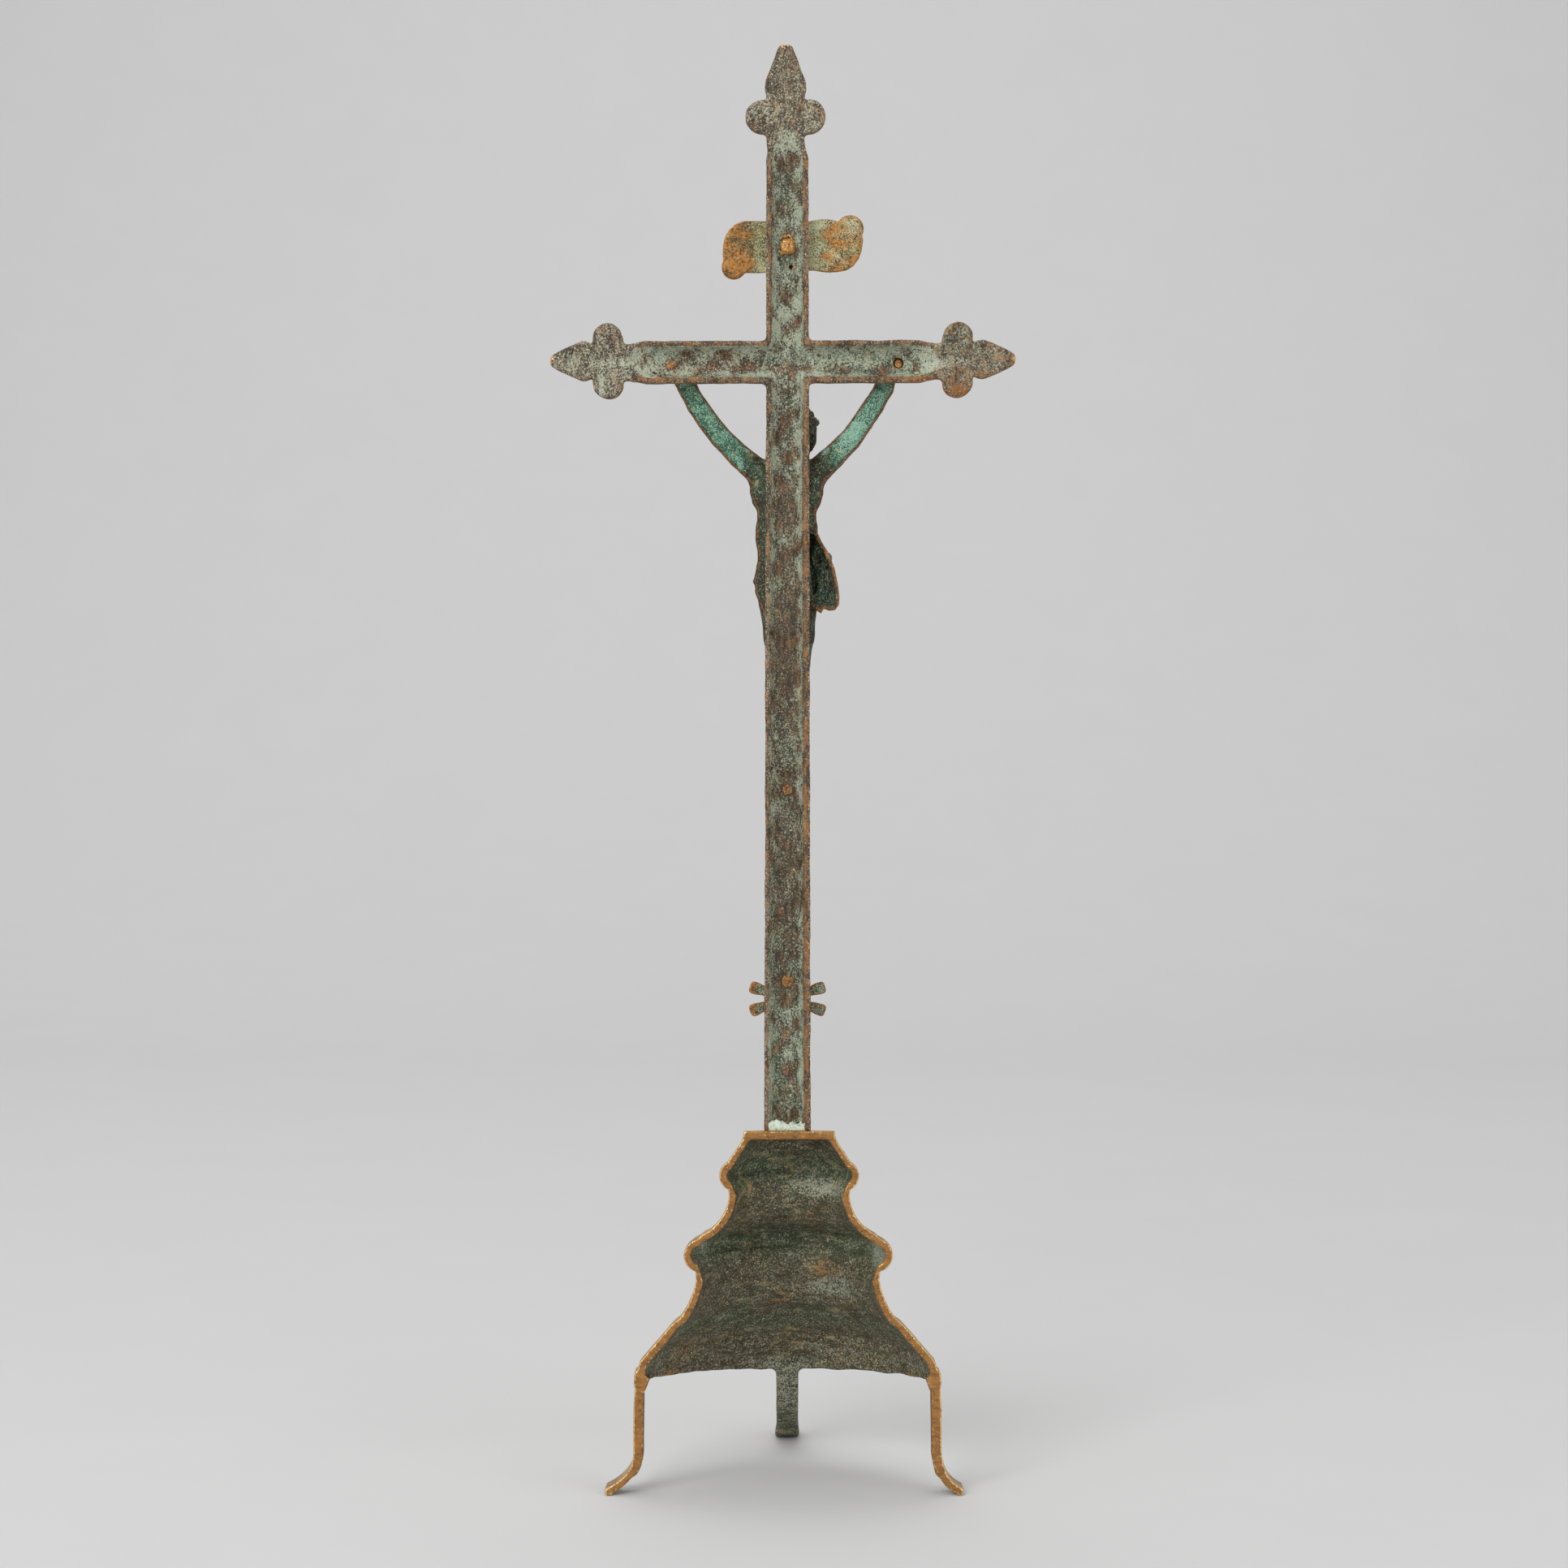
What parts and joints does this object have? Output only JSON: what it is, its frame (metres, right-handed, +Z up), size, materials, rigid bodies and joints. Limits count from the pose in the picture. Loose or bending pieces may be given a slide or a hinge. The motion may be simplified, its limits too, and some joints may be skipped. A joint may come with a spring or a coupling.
{
  "type": "altar crucifix",
  "caption": "Standing altar crucifix of cast brass: spear-ended cross with figure, blank scroll and skull plaque on a half-bell base with strap legs.",
  "frame": {"origin": "on the floor, under the middle of the bounding box", "axes": "+Z up along the shaft; the figure faces -Y and the open back faces +Y; +X is the figure's left hand"},
  "size_m": [0.1282, 0.069, 0.4],
  "materials": {
    "cross_casting": "old brass with grey-green patina, rubbed brown-gold rims",
    "scroll_casting": "mottled olive, gold and orange patina",
    "figure_casting": "teal and dark green verdigris with brown edges",
    "skull_casting": "brown-gold edges with green patina",
    "base_casting": "dark green and brown patina, polished gold-brown edges",
    "copper_rivet": "copper-brown, rubbed",
    "solder": "pale mint, matt and lumpy"
  },
  "bodies": {
    "root": {"cross": "cross_casting", "titulus": "scroll_casting", "titulus_rivet": "copper_rivet", "corpus": "figure_casting", "nail_left_hand": "copper_rivet", "nail_right_hand": "copper_rivet", "nail_feet": "copper_rivet", "skull_and_crossbones": "skull_casting", "skull_rivet": "copper_rivet", "base_shell": "base_casting", "solder_seam": "solder"}
  },
  "joints": []
}
